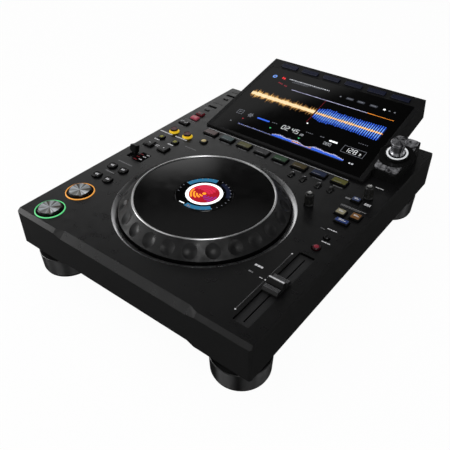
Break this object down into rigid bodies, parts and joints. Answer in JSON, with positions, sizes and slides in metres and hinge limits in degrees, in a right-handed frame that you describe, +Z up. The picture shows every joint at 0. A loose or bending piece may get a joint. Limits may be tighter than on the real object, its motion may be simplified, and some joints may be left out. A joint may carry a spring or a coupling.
{
  "type": "tabletop dj media player",
  "caption": "Tabletop DJ player: bevelled case on drum feet, dimpled jog wheel, tempo slider, lit keys, tilted touch screen overhanging the back, rotary selector.",
  "frame": {"origin": "centre of the bounding box at its lowest level, between the rubber pads on the table", "axes": "+X to the right for the person who plays it, +Y away from that person towards the overhanging screen, +Z up from the table"},
  "size_m": [0.329, 0.4646, 0.1254],
  "materials": {
    "case_plastic": "fine-grained matte moulding",
    "sheet_steel": "black powder coat",
    "foot_metal": "satin dark paint",
    "rubber": "matte",
    "steel": "bright",
    "board_green": "circuit board with lacquer",
    "board_blue": "circuit board with lacquer",
    "socket_black": "moulded",
    "socket_metal": "plated",
    "bright_ring": "satin silver",
    "diecast": "die cast",
    "jog_black": "semi-matte moulding",
    "rim_bright": "bright plated",
    "gloss_black": "high gloss",
    "display_glass": "glass look over a dark screen",
    "soft_key": "smoked, with blue light behind",
    "pad_grey": "grey, glossy",
    "knob_black": "matte with a soft grip",
    "knob_silver": "turned, satin",
    "green_button": "lit ring",
    "orange_button": "lit ring",
    "grey_button": "satin",
    "amber_button": "lit ring",
    "red_key": "lit from behind",
    "lit_key": "lit from behind"
  },
  "bodies": {
    "case": {"top_case": "case_plastic", "chassis": "sheet_steel", "feet": "foot_metal", "foot_pads": "rubber", "screws": "steel", "main_board": "board_green", "power_supply": "board_green", "key_board": "board_blue", "rear_sockets": "socket_black", "usb_sockets": "socket_metal", "jog_bezel": "bright_ring", "jog_base": "diecast", "jog_post": "diecast", "jog_bearings": "steel", "jog_display": "gloss_black", "display_housing": "case_plastic", "display_cover": "sheet_steel", "display_glass": "display_glass", "lcd_module": "steel", "display_keys": "soft_key", "selector_block": "gloss_black", "selector_pads": "pad_grey", "fader_unit": "socket_black", "function_keys": "lit_key"},
    "jog_wheel": {"jog_ring": "jog_black", "jog_rim": "rim_bright", "jog_plate": "gloss_black"},
    "tempo_slider": {"fader_cap": "knob_black"},
    "selector_push": {"selector_shaft": "steel"},
    "selector_turn": {"selector_knob": "knob_silver"},
    "direction_lever": {"direction_lever": "knob_black"},
    "play_button": {"play_button": "green_button"},
    "cue_button": {"cue_button": "orange_button"},
    "jog_feel_knob": {"jog_feel_knob": "knob_black"},
    "brake_knob": {"brake_knob": "knob_black"},
    "power_switch": {"power_switch": "socket_black"},
    "search_button_1": {"search_button_1": "grey_button"},
    "search_button_2": {"search_button_2": "grey_button"},
    "search_button_3": {"search_button_3": "grey_button"},
    "search_button_4": {"search_button_4": "grey_button"},
    "jump_key_back": {"jump_key_back": "grey_button"},
    "jump_key_forward": {"jump_key_forward": "grey_button"},
    "loop_halve_button": {"loop_halve_button": "amber_button"},
    "loop_double_button": {"loop_double_button": "amber_button"},
    "loop_in_button": {"loop_in_button": "amber_button"},
    "loop_out_button": {"loop_out_button": "amber_button"},
    "reloop_button": {"reloop_button": "grey_button"},
    "beat_loop_key": {"beat_loop_key": "grey_button"},
    "slip_key": {"slip_key": "red_key"},
    "quantize_key": {"quantize_key": "red_key"},
    "hot_cue_key_1": {"hot_cue_key_1": "lit_key"},
    "hot_cue_key_2": {"hot_cue_key_2": "lit_key"},
    "hot_cue_key_3": {"hot_cue_key_3": "lit_key"},
    "hot_cue_key_4": {"hot_cue_key_4": "lit_key"},
    "hot_cue_key_5": {"hot_cue_key_5": "lit_key"},
    "hot_cue_key_6": {"hot_cue_key_6": "lit_key"},
    "hot_cue_key_7": {"hot_cue_key_7": "lit_key"},
    "hot_cue_key_8": {"hot_cue_key_8": "lit_key"},
    "range_button": {"range_button": "knob_black"},
    "reset_button": {"reset_button": "red_key"}
  },
  "joints": [
    {"name": "jog_wheel_spin", "type": "hinge", "parent": "case", "child": "jog_wheel", "pos_m": [0.001, -0.09632, 0.0825], "axis": [0, 0, 1], "continuous": true},
    {"name": "tempo_slide", "type": "slide", "parent": "case", "child": "tempo_slider", "axis": [0, 1, 0], "range_m": [-0.048, 0.048]},
    {"name": "selector_press", "type": "slide", "parent": "case", "child": "selector_push", "axis": [0, 0.225, -0.9744], "range_m": [0, 0.0008], "stiffness_N_per_m": 900, "springref_m": -0.0015},
    {"name": "selector_spin", "type": "hinge", "parent": "selector_push", "child": "selector_turn", "pos_m": [0.1397, 0.10668, 0.10262], "axis": [0, -0.225, 0.9744], "continuous": true},
    {"name": "direction_tilt", "type": "hinge", "parent": "case", "child": "direction_lever", "pos_m": [-0.146, -0.06631, 0.0685], "axis": [1, 0, 0], "range_deg": [0, 32]},
    {"name": "play_button_press", "type": "slide", "parent": "case", "child": "play_button", "axis": [0, 0, -1], "range_m": [0, 0.0015], "stiffness_N_per_m": 500, "springref_m": -0.0015},
    {"name": "cue_button_press", "type": "slide", "parent": "case", "child": "cue_button", "axis": [0, 0, -1], "range_m": [0, 0.0015], "stiffness_N_per_m": 500, "springref_m": -0.0015},
    {"name": "jog_feel_knob_turn", "type": "hinge", "parent": "case", "child": "jog_feel_knob", "pos_m": [0.09471, -0.02363, 0.0825], "axis": [0, 0, 1], "range_deg": [-150, 150]},
    {"name": "brake_knob_turn", "type": "hinge", "parent": "case", "child": "brake_knob", "pos_m": [0.1425, 0.02918, 0.0825], "axis": [0, 0, 1], "range_deg": [-150, 150]},
    {"name": "power_switch_rock", "type": "hinge", "parent": "case", "child": "power_switch", "pos_m": [-0.082, 0.15568, 0.0605], "axis": [1, 0, 0], "range_deg": [-24, 0]},
    {"name": "search_button_1_press", "type": "slide", "parent": "case", "child": "search_button_1", "axis": [0, 0, -1], "range_m": [0, 0.0012], "stiffness_N_per_m": 250, "springref_m": -0.0015},
    {"name": "search_button_2_press", "type": "slide", "parent": "case", "child": "search_button_2", "axis": [0, 0, -1], "range_m": [0, 0.0012], "stiffness_N_per_m": 250, "springref_m": -0.0015},
    {"name": "search_button_3_press", "type": "slide", "parent": "case", "child": "search_button_3", "axis": [0, 0, -1], "range_m": [0, 0.0012], "stiffness_N_per_m": 250, "springref_m": -0.0015},
    {"name": "search_button_4_press", "type": "slide", "parent": "case", "child": "search_button_4", "axis": [0, 0, -1], "range_m": [0, 0.0012], "stiffness_N_per_m": 250, "springref_m": -0.0015},
    {"name": "jump_key_back_press", "type": "slide", "parent": "case", "child": "jump_key_back", "axis": [0, 0, -1], "range_m": [0, 0.0012], "stiffness_N_per_m": 250, "springref_m": -0.0015},
    {"name": "jump_key_forward_press", "type": "slide", "parent": "case", "child": "jump_key_forward", "axis": [0, 0, -1], "range_m": [0, 0.0012], "stiffness_N_per_m": 250, "springref_m": -0.0015},
    {"name": "loop_halve_button_press", "type": "slide", "parent": "case", "child": "loop_halve_button", "axis": [0, 0, -1], "range_m": [0, 0.0012], "stiffness_N_per_m": 250, "springref_m": -0.0015},
    {"name": "loop_double_button_press", "type": "slide", "parent": "case", "child": "loop_double_button", "axis": [0, 0, -1], "range_m": [0, 0.0012], "stiffness_N_per_m": 250, "springref_m": -0.0015},
    {"name": "loop_in_button_press", "type": "slide", "parent": "case", "child": "loop_in_button", "axis": [0, 0, -1], "range_m": [0, 0.0012], "stiffness_N_per_m": 250, "springref_m": -0.0015},
    {"name": "loop_out_button_press", "type": "slide", "parent": "case", "child": "loop_out_button", "axis": [0, 0, -1], "range_m": [0, 0.0012], "stiffness_N_per_m": 250, "springref_m": -0.0015},
    {"name": "reloop_button_press", "type": "slide", "parent": "case", "child": "reloop_button", "axis": [0, 0, -1], "range_m": [0, 0.0012], "stiffness_N_per_m": 250, "springref_m": -0.0015},
    {"name": "beat_loop_key_press", "type": "slide", "parent": "case", "child": "beat_loop_key", "axis": [0, 0, -1], "range_m": [0, 0.0012], "stiffness_N_per_m": 250, "springref_m": -0.0015},
    {"name": "slip_key_press", "type": "slide", "parent": "case", "child": "slip_key", "axis": [0, 0, -1], "range_m": [0, 0.0012], "stiffness_N_per_m": 250, "springref_m": -0.0015},
    {"name": "quantize_key_press", "type": "slide", "parent": "case", "child": "quantize_key", "axis": [0, 0, -1], "range_m": [0, 0.0012], "stiffness_N_per_m": 250, "springref_m": -0.0015},
    {"name": "hot_cue_key_1_press", "type": "slide", "parent": "case", "child": "hot_cue_key_1", "axis": [0, 0, -1], "range_m": [0, 0.0012], "stiffness_N_per_m": 250, "springref_m": -0.0015},
    {"name": "hot_cue_key_2_press", "type": "slide", "parent": "case", "child": "hot_cue_key_2", "axis": [0, 0, -1], "range_m": [0, 0.0012], "stiffness_N_per_m": 250, "springref_m": -0.0015},
    {"name": "hot_cue_key_3_press", "type": "slide", "parent": "case", "child": "hot_cue_key_3", "axis": [0, 0, -1], "range_m": [0, 0.0012], "stiffness_N_per_m": 250, "springref_m": -0.0015},
    {"name": "hot_cue_key_4_press", "type": "slide", "parent": "case", "child": "hot_cue_key_4", "axis": [0, 0, -1], "range_m": [0, 0.0012], "stiffness_N_per_m": 250, "springref_m": -0.0015},
    {"name": "hot_cue_key_5_press", "type": "slide", "parent": "case", "child": "hot_cue_key_5", "axis": [0, 0, -1], "range_m": [0, 0.0012], "stiffness_N_per_m": 250, "springref_m": -0.0015},
    {"name": "hot_cue_key_6_press", "type": "slide", "parent": "case", "child": "hot_cue_key_6", "axis": [0, 0, -1], "range_m": [0, 0.0012], "stiffness_N_per_m": 250, "springref_m": -0.0015},
    {"name": "hot_cue_key_7_press", "type": "slide", "parent": "case", "child": "hot_cue_key_7", "axis": [0, 0, -1], "range_m": [0, 0.0012], "stiffness_N_per_m": 250, "springref_m": -0.0015},
    {"name": "hot_cue_key_8_press", "type": "slide", "parent": "case", "child": "hot_cue_key_8", "axis": [0, 0, -1], "range_m": [0, 0.0012], "stiffness_N_per_m": 250, "springref_m": -0.0015},
    {"name": "range_button_press", "type": "slide", "parent": "case", "child": "range_button", "axis": [0, 0, -1], "range_m": [0, 0.0012], "stiffness_N_per_m": 250, "springref_m": -0.0015},
    {"name": "reset_button_press", "type": "slide", "parent": "case", "child": "reset_button", "axis": [0, 0, -1], "range_m": [0, 0.0012], "stiffness_N_per_m": 250, "springref_m": -0.0015}
  ]
}
